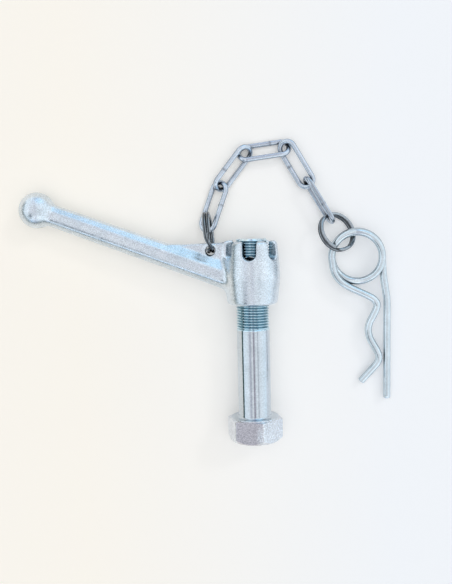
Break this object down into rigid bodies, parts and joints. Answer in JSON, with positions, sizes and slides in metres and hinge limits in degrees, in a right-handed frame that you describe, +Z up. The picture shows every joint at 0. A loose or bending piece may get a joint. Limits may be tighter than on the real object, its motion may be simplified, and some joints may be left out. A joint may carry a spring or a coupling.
{
  "type": "hitch pin lock",
  "caption": "Hex-head hitch pin with a castellated lever-handle nut and a double-loop hairpin clip tethered to it by a short chain.",
  "frame": {"origin": "middle of the hex head's washer face, on the bolt's axis", "axes": "+Y along the bolt from under its head to its threaded end, +Z up from the surface the part lies on, +X to the clip's side, away from the handle"},
  "size_m": [0.2485, 0.2013, 0.0378],
  "materials": {
    "zinc_bolt": "bright blue-white zinc plate on a smooth turned bolt",
    "zinc_forging": "bright zinc plate over a slightly rough forging",
    "zinc_chain": "bright zinc plate on drawn wire, with darker weld marks",
    "zinc_wire": "smooth bright zinc plate on spring wire",
    "ring_steel": "darker grey plated spring steel"
  },
  "bodies": {
    "bolt": {"bolt": "zinc_bolt"},
    "handle_nut": {"handle_nut": "zinc_forging"},
    "split_ring_nut_end": {"split_ring_nut_end": "ring_steel"},
    "chain_link_1": {"chain_link_1": "zinc_chain"},
    "chain_link_2": {"chain_link_2": "zinc_chain"},
    "chain_link_3": {"chain_link_3": "zinc_chain"},
    "chain_link_4": {"chain_link_4": "zinc_chain"},
    "chain_link_5": {"chain_link_5": "zinc_chain"},
    "split_ring_clip_end": {"split_ring_clip_end": "ring_steel"},
    "r_clip": {"r_clip": "zinc_wire"}
  },
  "joints": [
    {"name": "nut_turn", "type": "hinge", "parent": "bolt", "child": "handle_nut", "pos_m": [0, 0.096, 0], "axis": [0, 1, 0], "continuous": true},
    {"name": "ring_swing", "type": "hinge", "parent": "handle_nut", "child": "split_ring_nut_end", "pos_m": [-0.02717, 0.1124, -0.0013], "axis": [-0.0478, 0, 0.9989], "range_deg": [-25, 25]},
    {"name": "link_1_slide", "type": "hinge", "parent": "split_ring_nut_end", "child": "chain_link_1", "pos_m": [-0.0282, 0.1242, -0.0049], "axis": [0.9925, 0.1083, 0.0558], "range_deg": [-20, 20]},
    {"name": "link_2_swing", "type": "hinge", "parent": "chain_link_1", "child": "chain_link_2", "pos_m": [-0.02048, 0.15219, -0.01444], "axis": [-0.4869, 0.1813, 0.8545], "range_deg": [-20, 20]},
    {"name": "link_3_swing", "type": "hinge", "parent": "chain_link_2", "child": "chain_link_3", "pos_m": [-0.00354, 0.17556, -0.01289], "axis": [-0.4721, 0.4175, -0.7764], "range_deg": [-20, 20]},
    {"name": "link_4_swing", "type": "hinge", "parent": "chain_link_3", "child": "chain_link_4", "pos_m": [0.02171, 0.17903, -0.01424], "axis": [0.0658, -0.5597, -0.8261], "range_deg": [-20, 20]},
    {"name": "link_5_swing", "type": "hinge", "parent": "chain_link_4", "child": "chain_link_5", "pos_m": [0.03759, 0.15799, -0.01264], "axis": [-0.3987, -0.2267, 0.8886], "range_deg": [-20, 20]},
    {"name": "ring_2_swing", "type": "hinge", "parent": "chain_link_5", "child": "split_ring_clip_end", "pos_m": [0.05234, 0.13372, -0.01184], "axis": [-0.8514, -0.5006, 0.1564], "range_deg": [-20, 20]},
    {"name": "clip_swing", "type": "hinge", "parent": "split_ring_clip_end", "child": "r_clip", "pos_m": [0.0579, 0.1223, -0.0089], "axis": [0.4505, 0.4157, 0.7901], "range_deg": [-25, 25]}
  ]
}
